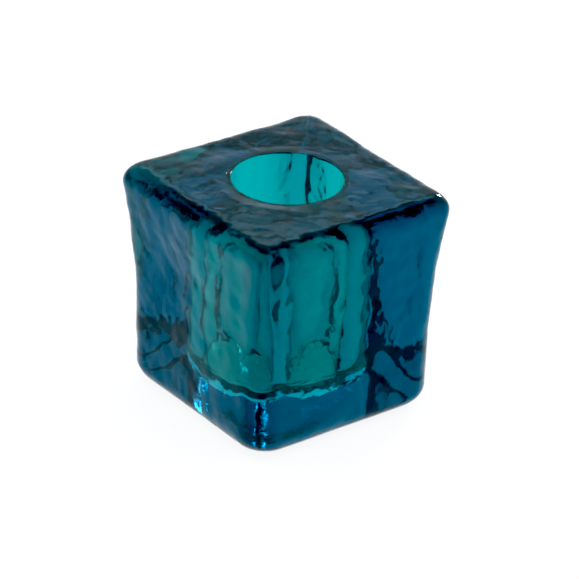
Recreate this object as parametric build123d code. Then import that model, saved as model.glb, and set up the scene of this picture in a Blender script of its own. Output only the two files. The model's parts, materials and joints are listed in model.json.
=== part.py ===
"""A thick block of blue glass, flared at the top and fire-rounded, cast round a cup of
sea-green glass that lines its well. Millimetres, +Z up, origin at the middle of the base."""
import os

from build123d import *

# The blue block: a square body that flares out towards its top
TOP_WIDTH = 50.8
BODY_WIDTH = 46.2
BLOCK_HEIGHT = 49.4
FLARE_START = 19.4
FLARE_STEPS = 4
CORNER_RADIUS = 5.1
BASE_EDGE_RADIUS = 4.6
TOP_EDGE_RADIUS = 4.4

# The well: a straight round bore with a rounded floor
MOUTH_RADIUS = 11.5
WELL_FLOOR = 9.0
WELL_FLOOR_RADIUS = 3.0
LIP_RADIUS = 0.5

# The green cup's wall and floor, which fill the block's socket face to face
CUP_WALL = 1.0
CUP_FLOOR = 2.2
CUP_FLOOR_RADIUS = 3.5


def rounded_square(width, corner_radius, height):
    """A square outline with round corners, lying level at a height."""
    return Plane.XY.offset(height) * RectangleRounded(width, width, corner_radius)


def lowest_face(solid):
    """The solid's lowest level face."""
    return solid.faces().sort_by(Axis.Z)[0]


def highest_face(solid):
    """The solid's highest level face."""
    return solid.faces().sort_by(Axis.Z)[-1]


def flare_section(share):
    """The outline at a share of the flare's height, which widens with the square of the share."""
    width = BODY_WIDTH + (TOP_WIDTH - BODY_WIDTH) * share**2
    height = FLARE_START + (BLOCK_HEIGHT - FLARE_START) * share
    return rounded_square(width, CORNER_RADIUS, height)


def block_blank():
    """The block's outer form without its socket: straight below, flared above, all edges round."""
    blank = extrude(rounded_square(BODY_WIDTH, CORNER_RADIUS, 0), FLARE_START)
    blank = fillet(lowest_face(blank).edges(), BASE_EDGE_RADIUS)
    sections = [flare_section(step / FLARE_STEPS) for step in range(FLARE_STEPS + 1)]
    for lower, upper in zip(sections[:-2], sections[1:-1]):
        blank += loft([lower, upper], ruled=True)
    crown = loft(sections[-2:], ruled=True)
    return blank + fillet(highest_face(crown).edges(), TOP_EDGE_RADIUS)


def round_well(radius, floor, floor_radius):
    """An upright round solid from a floor up to the block's top, with a rounded edge below."""
    well = extrude(Plane.XY.offset(floor) * Circle(radius), BLOCK_HEIGHT - floor)
    return fillet(lowest_face(well).edges(), floor_radius)


def socket():
    """The space in the block that the cup fills, well and all."""
    return round_well(MOUTH_RADIUS + CUP_WALL, WELL_FLOOR - CUP_FLOOR, CUP_FLOOR_RADIUS)


def outer_block():
    """The blue block with the socket that the cup fills."""
    return block_blank() - socket()


def inner_cup():
    """The green cup: the lining of the well, closed below and open at its round lip."""
    cup = socket() - round_well(MOUTH_RADIUS, WELL_FLOOR, WELL_FLOOR_RADIUS)
    inner_lip = highest_face(cup).edges().sort_by(SortBy.LENGTH)[0]
    return fillet(inner_lip, LIP_RADIUS)


os.makedirs("parts", exist_ok=True)
export_step(outer_block(), "parts/outer_block.step")
export_step(inner_cup(), "parts/inner_cup.step")
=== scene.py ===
"""The looks of a glass cube with a lined well: a flared block of blue cast glass round a cup of
sea-green glass, on a lit studio floor. Metres, +Z up, origin at the middle of the base."""
import json
import math

import bmesh
import bpy
from mathutils import Matrix, Vector


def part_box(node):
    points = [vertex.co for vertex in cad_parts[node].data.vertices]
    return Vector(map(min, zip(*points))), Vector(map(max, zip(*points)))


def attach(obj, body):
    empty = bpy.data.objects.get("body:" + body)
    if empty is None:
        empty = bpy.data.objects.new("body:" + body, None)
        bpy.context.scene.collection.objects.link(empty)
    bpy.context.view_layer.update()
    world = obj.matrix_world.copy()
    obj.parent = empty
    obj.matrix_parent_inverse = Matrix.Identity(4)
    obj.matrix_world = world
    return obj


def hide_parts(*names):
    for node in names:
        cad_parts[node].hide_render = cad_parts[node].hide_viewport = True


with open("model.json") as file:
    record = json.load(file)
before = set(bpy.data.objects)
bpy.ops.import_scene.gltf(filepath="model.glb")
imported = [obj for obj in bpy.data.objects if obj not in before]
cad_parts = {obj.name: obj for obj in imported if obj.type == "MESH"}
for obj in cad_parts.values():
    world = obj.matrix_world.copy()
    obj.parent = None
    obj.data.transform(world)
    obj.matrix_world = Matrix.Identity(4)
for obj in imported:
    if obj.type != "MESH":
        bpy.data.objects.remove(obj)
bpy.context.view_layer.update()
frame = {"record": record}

bl_info = {
    "name": "Glass Cube With Lined Well",
    "version": (1, 0, 0),
    "blender": (4, 5, 0),
    "location": "View3D > Sidebar > Glass Cube",
    "description": "Models a cast glass block, the glass cup that lines its well, and a studio",
    "category": "Add Mesh",
}

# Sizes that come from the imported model
MM = 0.001
BLOCK_LOW, BLOCK_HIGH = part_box("outer_block")
CUP_LOW, CUP_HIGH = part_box("inner_cup")
BLOCK_HEIGHT = BLOCK_HIGH[2] - BLOCK_LOW[2]
BLOCK_WIDTH = BLOCK_HIGH[0] - BLOCK_LOW[0]
CUP_WIDTH = CUP_HIGH[0] - CUP_LOW[0]
MOUTH = next(mount for mount in frame["record"]["mounts"] if mount["name"] == "mouth")
MOUTH_RADIUS = MOUTH["dims"]["r_mm"] * MM

# How finely the glass is cut: every ring has as many points as the last, so that each can follow it
RING_POINTS = 176

# A step too short to see, which keeps an edge sharp when the shell is smoothed
SHARP_STEP = 0.08 * MM

# Where the unevenness begins, and over what distance it grows to its full depth: above the base,
# outside the rim of the mouth, below the top inside the well, and down to the foot of the cup
BASE_MARGIN, BASE_FADE = 0.4 * MM, 4 * MM
MOUTH_MARGIN, MOUTH_FADE = MOUTH_RADIUS * 1.1, 2.5 * MM
MOUTH_BAND = BLOCK_HEIGHT * 0.97
RIM_MARGIN, RIM_FADE = 0.6 * MM, 4 * MM
FOOT_RISE, FOOT_FADE = 5 * MM, 3 * MM

# The blown cup is smoother inside than out: the size and the depth of its inner waves, as shares
INNER_SIZE, INNER_DEPTH = 0.8, 0.6

# The stage. A lamp's place is given as the camera sees it: to the right, behind the block and up
FLOOR_WIDTH = 6.0
FLOOR_DROP = 0.02 * MM
GLINT_PLACE, GLINT_SIZE = (0.25, 0.45, 0.22), (0.09, 0.09)
PANEL_PLACE, PANEL_SIZE = (0.0, 0.82, 0.74), (0.9, 0.22)

# The picture: how often light may turn on its way, and what is taken out of red, green and blue
LIGHT_TURNS = 32
GLOSS_TURNS = 16
BLACK_LEVEL = (0.05, 0.034, 0.034)


# ---------------------------------------------------------------- settings

def length_setting(name, description, default):
    """A length in metres."""
    return bpy.props.FloatProperty(
        name=name, description=description, default=default, unit="LENGTH")


def angle_setting(name, description, degrees):
    """An angle, given in degrees and kept in radians."""
    return bpy.props.FloatProperty(
        name=name, description=description, default=math.radians(degrees), subtype="ANGLE")


def plain_setting(name, description, default):
    """A number without a unit of its own."""
    return bpy.props.FloatProperty(name=name, description=description, default=default)


class BlockSettings(bpy.types.PropertyGroup):
    """Sizes of the blue block."""
    height: length_setting("Height", "Height of the block", BLOCK_HEIGHT)
    top_width: length_setting(
        "Top width", "Width that the flare would reach at the top if its edge were sharp",
        BLOCK_WIDTH * 1.02)
    body_width: length_setting(
        "Body width", "Width of the straight lower body", BLOCK_WIDTH * 0.93)
    flare_start: bpy.props.FloatProperty(
        name="Flare start", description="Share of the height at which the sides begin to flare",
        default=0.39, subtype="FACTOR")
    foot_corner: length_setting(
        "Foot corner radius", "Radius of the four upright edges at the base", 6.2 * MM)
    top_corner: length_setting(
        "Top corner radius", "Radius of the four upright edges at the top", 2.6 * MM)
    base_radius: length_setting(
        "Base edge radius", "Radius of the edge round the base", 4.5 * MM)
    top_radius: length_setting(
        "Top edge radius", "Radius of the edge round the top", 4.2 * MM)


class WellSettings(bpy.types.PropertyGroup):
    """Sizes of the well and of the cup that lines it."""
    mouth_radius: length_setting("Mouth radius", "Radius of the well", MOUTH_RADIUS)
    floor: length_setting("Cup floor", "Thickness of the cup's floor", 2.2 * MM)
    floor_radius: length_setting(
        "Floor radius", "Radius of the edge round the well's floor", 3.0 * MM)
    socket_radius: length_setting(
        "Socket edge radius", "Radius of the edge round the floor of the block's socket", 1.8 * MM)
    foot_radius: length_setting(
        "Foot radius", "Radius of the edge round the cup's foot, which leaves a thin ring of air",
        2.9 * MM)
    bond: length_setting(
        "Bond", "How far the cup sinks into the block, as the two glasses are fused and light "
        "crosses from one to the other without meeting air", 0.03 * MM)
    lip_radius: length_setting("Lip radius", "Radius of the rounded lip", 0.3 * MM)


class RippleSettings(bpy.types.PropertyGroup):
    """How uneven the glass is. A depth is the whole range of the noise, which it seldom reaches."""
    sag_size: length_setting("Sag size", "Width of the broad swells", 17 * MM)
    sag_depth: length_setting("Sag depth", "Depth of the broad swells", 1.3 * MM)
    ripple_size: length_setting("Ripple size", "Width of the ripples", 4.0 * MM)
    ripple_depth: length_setting("Ripple depth", "Depth of the ripples", 0.3 * MM)
    pit_size: length_setting("Pit size", "Width of the fine chill marks", 1.7 * MM)
    pit_depth: length_setting("Pit depth", "Depth of the fine chill marks", 0.07 * MM)
    wave_size: length_setting("Wave size", "Width of the waves in the well's wall", 5 * MM)
    wave_depth: length_setting("Wave depth", "Depth of the waves in the well's wall", 0.3 * MM)
    ragged_size: length_setting(
        "Ragged size", "Width of the notches round the foot of the socket", 1.8 * MM)
    ragged_depth: length_setting(
        "Ragged depth", "Depth of the notches round the foot of the socket", 0.9 * MM)


class GlassSettings(bpy.types.PropertyGroup):
    """How the two glasses take light out of what passes through them."""
    blue_depth: bpy.props.FloatVectorProperty(
        name="Blue absorption",
        description="Share of red, green and blue taken out per millimetre, as a rate",
        default=(0.22, 0.0465, 0.0335), size=3)
    green_depth: bpy.props.FloatVectorProperty(
        name="Green absorption",
        description="Share of red, green and blue taken out per millimetre, as a rate",
        default=(0.3, 0.06, 0.09), size=3)
    ior: plain_setting("IOR", "Refractive index of soda-lime glass", 1.5)


class StageSettings(bpy.types.PropertyGroup):
    """The camera, the light and the floor."""
    azimuth: angle_setting("Azimuth", "How far the camera stands round from the front", -37.8)
    elevation: angle_setting("Elevation", "How far the camera looks down", 28.4)
    roll: angle_setting("Roll", "Tilt of the camera about its own axis", 2.2)
    distance: length_setting(
        "Distance", "Distance from the camera to the block's middle", 0.76)
    view_width: length_setting(
        "View width", "Width that the picture takes in at the block's middle", 0.1196)
    shift_across: plain_setting(
        "Shift across", "Shift of the lens to the right, as a share of the picture", 0.0104)
    shift_up: plain_setting(
        "Shift up", "Shift of the lens upwards, as a share of the picture", -0.0080)
    floor_colour: bpy.props.StringProperty(
        name="Floor colour", description="sRGB hex colour of the floor", default="#747678")
    floor_glow: plain_setting("Floor glow", "Light that the lit floor sends up", 0.88)
    lamp_power: plain_setting(
        "Lamp power", "Power of the small lamp that makes the glints, in watts", 0.6)
    panel_power: plain_setting(
        "Panel power", "Power of the wide panel that the top reflects, in watts", 0.62)
    sky_strength: plain_setting("Sky strength", "Brightness of the white surroundings", 0.88)


# ---------------------------------------------------------------- materials

def linear_colour(hex_colour):
    """An sRGB hex colour as linear red, green, blue and alpha."""
    parts = [int(hex_colour[start:start + 2], 16) / 255 for start in (1, 3, 5)]
    linear = [part / 12.92 if part <= 0.04045 else ((part + 0.055) / 1.055) ** 2.4 for part in parts]
    return (*linear, 1.0)


def add_node(tree, kind, settings=None, inputs=None, links=None):
    """Adds a shader node with its settings, its input values and the sockets that feed it."""
    node = tree.nodes.new(kind)
    for name, value in (settings or {}).items():
        setattr(node, name, value)
    for name, value in (inputs or {}).items():
        node.inputs[name].default_value = value
    for name, socket in (links or {}).items():
        tree.links.new(socket, node.inputs[name])
    return node


def new_material(name):
    """An empty node material and its output node."""
    material = bpy.data.materials.new(name)
    material.use_nodes = True
    material.node_tree.nodes.clear()
    return material, material.node_tree, material.node_tree.nodes.new("ShaderNodeOutputMaterial")


def place_noise(tree, place, size, detail, roughness=0.5):
    """Soft noise with patches of a given size, at a place on the piece."""
    return add_node(
        tree, "ShaderNodeTexNoise", links={"Vector": place},
        inputs={"Scale": 1 / size, "Detail": detail, "Roughness": roughness}).outputs["Fac"]


def remap(tree, value, before, after):
    """Stretches a value from one span to another, and holds it there."""
    return add_node(
        tree, "ShaderNodeMapRange", links={"Value": value},
        inputs={"From Min": before[0], "From Max": before[1],
                "To Min": after[0], "To Max": after[1]}).outputs["Result"]


def absorb(tree, output, rates_per_mm):
    """Colours the glass by its depth: each colour fades at its own rate per millimetre. The density
    is a little above the strongest rate, so that some of every colour is passed."""
    density = max(rates_per_mm) * 1.02
    passed = [1 - rate / density for rate in rates_per_mm]
    volume = add_node(tree, "ShaderNodeVolumeAbsorption", inputs={
        "Color": (*passed, 1.0), "Density": density / MM})
    tree.links.new(volume.outputs["Volume"], output.inputs["Volume"])


def clear_glass(tree, output, tint, sheen, rough, bump):
    """The surface of a clear glass: what it passes, what it reflects, its wear and its ripples."""
    glass = add_node(
        tree, "ShaderNodeBsdfPrincipled",
        inputs={"Base Color": tint, "Transmission Weight": 1.0, "Specular Tint": sheen,
                "IOR": bpy.context.scene.glass_cube_glass.ior},
        links={"Roughness": rough, "Normal": bump.outputs["Normal"]})
    tree.links.new(glass.outputs["BSDF"], output.inputs["Surface"])


def cast_blue_glass():
    """Soda-lime glass, deep blue, cast in an open mould and fire-polished. The mould's chilled wall
    leaves close ripples, which are strongest on the open top, and wear dulls it in patches."""
    material, tree, output = new_material("cast_blue_glass")
    place = add_node(tree, "ShaderNodeTexCoord")
    ripple = place_noise(tree, place.outputs["Object"], size=1.5 * MM, detail=3.0, roughness=0.6)
    facing = add_node(tree, "ShaderNodeSeparateXYZ", links={"Vector": place.outputs["Normal"]})
    strength = remap(tree, facing.outputs["Z"], before=(0.2, 0.9), after=(0.28, 1.0))
    bump = add_node(tree, "ShaderNodeBump", inputs={"Distance": 0.06 * MM}, links={
        "Height": ripple, "Strength": strength})
    worn = place_noise(tree, place.outputs["Object"], size=9 * MM, detail=4.0)
    rough = remap(tree, worn, before=(0.45, 0.75), after=(0.0, 0.05))
    clear_glass(tree, output, tint=(1, 1, 1, 1), sheen=(0.25, 0.5, 0.6, 1), rough=rough, bump=bump)
    absorb(tree, output, bpy.context.scene.glass_cube_glass.blue_depth)
    return material


def blown_green_glass():
    """Soda-lime glass, sea green, blown into the block. It is thin, so its colour stays light, and
    its waves are drawn out along the height of the cup."""
    material, tree, output = new_material("blown_green_glass")
    place = add_node(tree, "ShaderNodeTexCoord")
    drawn = add_node(tree, "ShaderNodeMapping", inputs={"Scale": (1, 1, 0.12)}, links={
        "Vector": place.outputs["Object"]})
    wave = place_noise(tree, drawn.outputs["Vector"], size=2.2 * MM, detail=2.0)
    bump = add_node(tree, "ShaderNodeBump", links={"Height": wave}, inputs={
        "Strength": 1.0, "Distance": 0.1 * MM})
    rough = remap(tree, wave, before=(0.4, 0.8), after=(0.0, 0.04))
    clear_glass(tree, output, tint=linear_colour("#A9EBE3"), sheen=(0.25, 0.5, 0.5, 1),
                rough=rough, bump=bump)
    absorb(tree, output, bpy.context.scene.glass_cube_glass.green_depth)
    return material


def lit_board():
    """A grey matt board lit from below: it glows white, has no gloss, and has a fine tooth."""
    settings = bpy.context.scene.glass_cube_stage
    material, tree, output = new_material("matte_board")
    place = add_node(tree, "ShaderNodeTexCoord")
    tooth = place_noise(tree, place.outputs["Object"], size=1.5 * MM, detail=2.0)
    bump = add_node(tree, "ShaderNodeBump", links={"Height": tooth}, inputs={
        "Strength": 0.1, "Distance": 0.02 * MM})
    board = add_node(
        tree, "ShaderNodeBsdfPrincipled",
        inputs={"Base Color": linear_colour(settings.floor_colour), "Roughness": 1.0,
                "Specular IOR Level": 0.0, "Emission Color": (1, 1, 1, 1),
                "Emission Strength": settings.floor_glow},
        links={"Normal": bump.outputs["Normal"]})
    tree.links.new(board.outputs["BSDF"], output.inputs["Surface"])
    return material


# ---------------------------------------------------------------- modelling tools

def blend(start, end, share):
    """The value that lies a share of the way from start to end."""
    return start + (end - start) * share


def clamp(share):
    """A share kept between nothing and all."""
    return min(1.0, max(0.0, share))


def quarter_turn(steps):
    """Sine and cosine pairs from 0 to 90 degrees, without the first."""
    angles = [math.pi / 2 * step / steps for step in range(1, steps + 1)]
    return [(math.sin(angle), math.cos(angle)) for angle in angles]


def reach(angle, half_width, corner_radius):
    """How far a square with round corners reaches from its middle at an angle."""
    turn = abs((angle + math.pi / 4) % (math.pi / 2) - math.pi / 4)
    centre = half_width - corner_radius
    if half_width * math.tan(turn) <= centre:
        return half_width / math.cos(turn)
    along = centre * (math.cos(turn) + math.sin(turn))
    inside = along * along - 2 * centre * centre + corner_radius * corner_radius
    return along + math.sqrt(max(0.0, inside))


def place_ring(piece, height, half_width, corner_radius):
    """Moves the selected ring to a height and gives it the outline of a square with round corners."""
    mesh = bmesh.from_edit_mesh(piece.data)
    for point in mesh.verts:
        if point.select:
            angle = math.atan2(point.co.y, point.co.x)
            distance = reach(angle, half_width, min(corner_radius, half_width))
            point.co = (distance * math.cos(angle), distance * math.sin(angle), height)
    bmesh.update_edit_mesh(piece.data)


def draw_shell(name, stations):
    """Draws a shell by extruding a ring through its stations, smooths it, and closes both ends."""
    bpy.ops.object.select_all(action="DESELECT")
    bpy.ops.mesh.primitive_circle_add(vertices=RING_POINTS, radius=stations[0][1], location=(0, 0, 0))
    piece = bpy.context.object
    piece.name = piece.data.name = name
    bpy.ops.object.mode_set(mode="EDIT")
    bpy.ops.mesh.select_mode(type="VERT")
    bpy.ops.mesh.select_all(action="SELECT")
    place_ring(piece, *stations[0])
    for station in stations[1:]:
        bpy.ops.mesh.extrude_region_move()
        place_ring(piece, *station)
    bpy.ops.object.mode_set(mode="OBJECT")
    apply_modifier(piece, "SUBSURF", levels=1)
    bpy.ops.object.mode_set(mode="EDIT")
    bpy.ops.mesh.select_all(action="SELECT")
    bpy.ops.mesh.fill_holes(sides=0)
    bpy.ops.mesh.select_mode(type="FACE")
    bpy.ops.mesh.select_face_by_sides(number=4, type="GREATER", extend=False)
    bpy.ops.mesh.poke()
    bpy.ops.mesh.select_all(action="SELECT")
    bpy.ops.mesh.normals_make_consistent(inside=False)
    bpy.ops.object.mode_set(mode="OBJECT")
    return piece


def finish_piece(piece):
    """Shades a piece smooth, and stops the script if it has an open edge."""
    bpy.ops.object.shade_smooth()
    mesh = bmesh.new()
    mesh.from_mesh(piece.data)
    open_edges = sum(not edge.is_manifold for edge in mesh.edges)
    mesh.free()
    if open_edges:
        raise RuntimeError(f"{piece.name} has {open_edges} open edges")


def apply_modifier(piece, kind, **settings):
    """Adds a modifier with its settings and applies it."""
    modifier = piece.modifiers.new(kind.title(), kind)
    for name, value in settings.items():
        setattr(modifier, name, value)
    bpy.context.view_layer.objects.active = piece
    bpy.ops.object.modifier_apply(modifier=modifier.name)


def weigh_points(piece, name, weight):
    """Makes a vertex group whose weights come from each point's height, its distance from the
    middle, and whether its surface faces away from the middle of the block."""
    group = piece.vertex_groups.new(name=name)
    middle = Vector((0, 0, BLOCK_HEIGHT / 2))
    by_weight = {}
    for point in piece.data.vertices:
        place = point.co
        faces_out = point.normal.dot(place - middle) > 0
        share = weight(place.z, math.hypot(place.x, place.y), faces_out)
        by_weight.setdefault(round(clamp(share), 2), []).append(point.index)
    for share, points in by_weight.items():
        group.add(points, share, "REPLACE")


def roughen(piece, group, size, depth):
    """Moves the points of a group in and out by soft noise, as far as their weights allow."""
    noise = bpy.data.textures.new(group, type="CLOUDS")
    noise.noise_scale = size
    noise.noise_depth = 1
    apply_modifier(piece, "DISPLACE", texture=noise, texture_coords="LOCAL", direction="NORMAL",
                   vertex_group=group, strength=depth, mid_level=0.5)


def skin_weight(height, distance, faces_out):
    """All of the outside but the flat base and the rim of the mouth."""
    rim = MOUTH_MARGIN if height > MOUTH_BAND else 0.0
    above_base = clamp((height - BASE_MARGIN) / BASE_FADE)
    return faces_out * above_base * clamp((distance - rim) / MOUTH_FADE)


def well_weight(height):
    """All of a well's surface but its rim."""
    return clamp((BLOCK_HEIGHT - height - RIM_MARGIN) / RIM_FADE)


def foot_weight(height):
    """The lowest few millimetres of the socket and the cup."""
    return clamp((CUP_LOW[2] + FOOT_RISE - height) / FOOT_FADE)


def one_side(weight, outward):
    """Keeps a weight to the surfaces that face outward, or to those that face inward."""
    return lambda height, distance, faces_out: (faces_out == outward) * weight(height)


# ---------------------------------------------------------------- the block and the cup

def block_half_width(height):
    """Half the block's width at a height: straight at first, then flaring as the rise squared."""
    block = bpy.context.scene.glass_cube_block
    start = block.flare_start * block.height
    rise = max(0.0, height - start) / (block.height - start)
    return (block.body_width + (block.top_width - block.body_width) * rise ** 2) / 2


def skin_stations(base_steps=12, edge_steps=7, body_steps=40, top_steps=15):
    """The block's skin as rings of (height, half width, corner radius): base, sides and top."""
    block = bpy.context.scene.glass_cube_block
    well = bpy.context.scene.glass_cube_well
    base, top = block.base_radius, block.top_radius

    def corner_at(half_width, height):
        radius = blend(block.foot_corner, block.top_corner, height / block.height)
        return radius * half_width / block_half_width(height)

    stations = []
    base_half = block_half_width(0) - base
    for step in range(1, base_steps + 1):
        share = step / base_steps
        half = base_half * share
        stations.append((0.0, half, blend(half, corner_at(base_half, 0), share)))
    for sine, cosine in quarter_turn(edge_steps):
        height = base * (1 - cosine)
        half = block_half_width(height) - base * (1 - sine)
        stations.append((height, half, corner_at(half, height)))
    span = block.height - base - top
    for step in range(1, body_steps):
        height = base + span * step / body_steps
        half = block_half_width(height)
        stations.append((height, half, corner_at(half, height)))
    for sine, cosine in [(0.0, 1.0)] + quarter_turn(edge_steps):
        height = block.height - top * (1 - sine)
        half = block_half_width(height) - top * (1 - cosine)
        stations.append((height, half, corner_at(half, height)))
    _, top_half, top_corner = stations[-1]
    mouth = CUP_WIDTH / 2 - well.bond
    beside_mouth = 0.993
    for share in [step / top_steps for step in range(1, top_steps)] + [beside_mouth, 1.0]:
        half = blend(top_half, mouth, share)
        stations.append((block.height, half, blend(top_corner, mouth, share)))
    return stations


def well_stations(radius, floor, floor_radius, wall_steps=40, edge_steps=8, floor_steps=9):
    """A round well's rings from just below the block's top to near the middle of the well's floor."""
    top = bpy.context.scene.glass_cube_block.height
    stations = [(top - SHARP_STEP, radius, radius)]
    for step in range(1, wall_steps + 1):
        stations.append((blend(top, floor + floor_radius, step / wall_steps), radius, radius))
    for sine, cosine in quarter_turn(edge_steps):
        half = radius - floor_radius * (1 - cosine)
        stations.append((floor + floor_radius * (1 - sine), half, half))
    floor_half = stations[-1][1]
    for step in range(1, floor_steps):
        half = floor_half * (1 - step / floor_steps)
        stations.append((floor, half, half))
    return stations


def make_outer_block(context):
    """The blue block: its skin from the middle of the base to the mouth, then its socket."""
    well = context.scene.glass_cube_well
    ripple = context.scene.glass_cube_ripple
    radius = CUP_WIDTH / 2 - well.bond
    socket = well_stations(radius, CUP_LOW[2] + well.bond, well.socket_radius - well.bond)
    piece = draw_shell("cast_block", skin_stations() + socket)
    weigh_points(piece, "socket", one_side(well_weight, outward=False))
    weigh_points(piece, "foot", one_side(foot_weight, outward=False))
    weigh_points(piece, "skin", skin_weight)
    roughen(piece, "socket", ripple.wave_size, -ripple.wave_depth)
    roughen(piece, "foot", ripple.ragged_size, -ripple.ragged_depth)
    roughen(piece, "skin", ripple.sag_size, ripple.sag_depth)
    roughen(piece, "skin", ripple.ripple_size, ripple.ripple_depth)
    roughen(piece, "skin", ripple.pit_size, ripple.pit_depth)
    finish_piece(piece)
    return piece


def make_inner_cup(context, lip_steps=4):
    """The green cup: up its outer wall, over its rounded lip and down inside it."""
    well = context.scene.glass_cube_well
    ripple = context.scene.glass_cube_ripple
    top = context.scene.glass_cube_block.height
    lip = well.lip_radius
    outer = CUP_WIDTH / 2
    stations = well_stations(outer, CUP_LOW[2], well.foot_radius)[::-1]
    stations += [(top, outer, outer), (top, outer - SHARP_STEP, outer - SHARP_STEP)]
    for sine, cosine in [(0.0, 1.0)] + quarter_turn(lip_steps):
        radius = well.mouth_radius + lip * (1 - sine)
        stations.append((top - lip * (1 - cosine), radius, radius))
    stations += well_stations(well.mouth_radius, CUP_LOW[2] + well.floor, well.floor_radius)[1:]
    piece = draw_shell("blown_cup", stations)
    weigh_points(piece, "outside", one_side(well_weight, outward=True))
    weigh_points(piece, "foot", one_side(foot_weight, outward=True))
    weigh_points(piece, "inside", one_side(well_weight, outward=False))
    roughen(piece, "outside", ripple.wave_size, ripple.wave_depth)
    roughen(piece, "foot", ripple.ragged_size, ripple.ragged_depth)
    roughen(piece, "inside", ripple.wave_size * INNER_SIZE, ripple.wave_depth * INNER_DEPTH)
    finish_piece(piece)
    return piece


# ---------------------------------------------------------------- the stage

def make_floor(context):
    """A wide lit floor, a hair below the base so that the two don't share a plane."""
    bpy.ops.object.select_all(action="DESELECT")
    bpy.ops.mesh.primitive_plane_add(size=FLOOR_WIDTH, location=(0, 0, -FLOOR_DROP))
    floor = context.object
    floor.name = floor.data.name = "studio_floor"
    bpy.ops.object.transform_apply(location=True, rotation=True, scale=True)
    floor.data.materials.append(lit_board())


def make_light(context):
    """White surroundings, a small lamp for the glints, and a wide panel that the top reflects."""
    stage = context.scene.glass_cube_stage
    world = bpy.data.worlds.new("white_room")
    world.use_nodes = True
    background = world.node_tree.nodes["Background"]
    background.inputs["Color"].default_value = (1, 1, 1, 1)
    background.inputs["Strength"].default_value = stage.sky_strength
    context.scene.world = world
    make_lamp("glint_lamp", GLINT_PLACE, GLINT_SIZE, stage.lamp_power)
    make_lamp("back_panel", PANEL_PLACE, PANEL_SIZE, stage.panel_power)


def make_lamp(name, place, size, power):
    """A soft rectangular lamp aimed at the block, at a place given as the camera sees it."""
    stage = bpy.context.scene.glass_cube_stage
    right, back, up = place
    east = right * math.cos(stage.azimuth) - back * math.sin(stage.azimuth)
    north = right * math.sin(stage.azimuth) + back * math.cos(stage.azimuth)
    bpy.ops.object.light_add(type="AREA", location=(east, north, up))
    lamp = bpy.context.object
    lamp.name = lamp.data.name = name
    lamp.data.shape = "RECTANGLE"
    lamp.data.size, lamp.data.size_y = size
    lamp.data.energy = power
    lamp.rotation_euler = lamp.location.to_track_quat("Z", "Y").to_euler()


def make_camera(context):
    """A long lens from above the corner between two sides, tilted a little."""
    stage = context.scene.glass_cube_stage
    height = context.scene.glass_cube_block.height
    bpy.ops.object.camera_add()
    camera = context.object
    camera.name = camera.data.name = "studio_camera"
    level = math.cos(stage.elevation)
    back = Vector((
        math.sin(stage.azimuth) * level, -math.cos(stage.azimuth) * level, math.sin(stage.elevation)))
    camera.location = Vector((0, 0, height / 2)) + back * stage.distance
    turn = (-back).to_track_quat("-Z", "Y").to_matrix() @ Matrix.Rotation(stage.roll, 3, "Z")
    camera.rotation_euler = turn.to_euler()
    camera.data.lens = camera.data.sensor_width * stage.distance / stage.view_width
    camera.data.shift_x = stage.shift_across
    camera.data.shift_y = stage.shift_up
    camera.data.clip_start = 0.01
    context.scene.camera = camera


def set_picture(context):
    """Plain colour with no film curve, a raised black level that takes out the white veil which the
    glass reflects, and enough light paths for glass inside glass."""
    scene = context.scene
    scene.view_settings.view_transform = "Standard"
    scene.view_settings.use_curve_mapping = True
    scene.view_settings.curve_mapping.black_level = BLACK_LEVEL
    scene.view_settings.curve_mapping.update()
    scene.cycles.max_bounces = LIGHT_TURNS
    scene.cycles.transmission_bounces = LIGHT_TURNS
    scene.cycles.glossy_bounces = GLOSS_TURNS
    scene.cycles.use_denoising = True
    scene.cycles.denoising_input_passes = "RGB"


# ---------------------------------------------------------------- operators

class GLASSCUBE_OT_outer_block(bpy.types.Operator):
    """Model the blue cast block with its socket"""
    bl_idname = "glass_cube.outer_block"
    bl_label = "Cast Block"

    def execute(self, context):
        piece = make_outer_block(context)
        piece.data.materials.append(cast_blue_glass())
        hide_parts("outer_block")
        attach(piece, "root")
        return {"FINISHED"}


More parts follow.
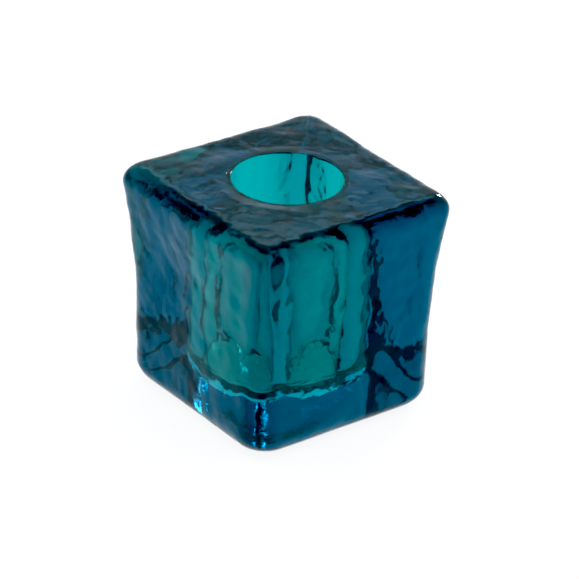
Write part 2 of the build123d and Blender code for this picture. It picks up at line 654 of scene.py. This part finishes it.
class GLASSCUBE_OT_inner_cup(bpy.types.Operator):
    """Model the green cup that lines the well"""
    bl_idname = "glass_cube.inner_cup"
    bl_label = "Blown Cup"

    def execute(self, context):
        piece = make_inner_cup(context)
        piece.data.materials.append(blown_green_glass())
        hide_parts("inner_cup")
        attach(piece, "root")
        return {"FINISHED"}


class GLASSCUBE_OT_stage(bpy.types.Operator):
    """Set up the lit floor, the light and the camera"""
    bl_idname = "glass_cube.stage"
    bl_label = "Studio"

    def execute(self, context):
        make_floor(context)
        make_light(context)
        make_camera(context)
        set_picture(context)
        return {"FINISHED"}


class GLASSCUBE_PT_panel(bpy.types.Panel):
    """Lists the pieces and the sizes that shape them"""
    bl_idname = "GLASSCUBE_PT_panel"
    bl_label = "Glass Cube"
    bl_space_type = "VIEW_3D"
    bl_region_type = "UI"
    bl_category = "Glass Cube"

    def draw(self, context):
        scene = context.scene
        groups = (
            (scene.glass_cube_block, GLASSCUBE_OT_outer_block),
            (scene.glass_cube_well, GLASSCUBE_OT_inner_cup),
            (scene.glass_cube_ripple, None),
            (scene.glass_cube_glass, None),
            (scene.glass_cube_stage, GLASSCUBE_OT_stage),
        )
        for settings, operator in groups:
            box = self.layout.box()
            for name in settings.__annotations__:
                box.prop(settings, name)
            if operator:
                box.operator(operator.bl_idname)


SETTINGS = {
    "glass_cube_block": BlockSettings,
    "glass_cube_well": WellSettings,
    "glass_cube_ripple": RippleSettings,
    "glass_cube_glass": GlassSettings,
    "glass_cube_stage": StageSettings,
}
CLASSES = (
    *SETTINGS.values(), GLASSCUBE_OT_outer_block, GLASSCUBE_OT_inner_cup, GLASSCUBE_OT_stage,
    GLASSCUBE_PT_panel)


def register():
    for item in CLASSES:
        bpy.utils.register_class(item)
    for name, settings in SETTINGS.items():
        setattr(bpy.types.Scene, name, bpy.props.PointerProperty(type=settings))


def unregister():
    for name in SETTINGS:
        delattr(bpy.types.Scene, name)
    for item in reversed(CLASSES):
        bpy.utils.unregister_class(item)


def main():
    register()
    bpy.ops.glass_cube.outer_block()
    bpy.ops.glass_cube.inner_cup()
    bpy.ops.glass_cube.stage()


if __name__ == "__main__":
    main()
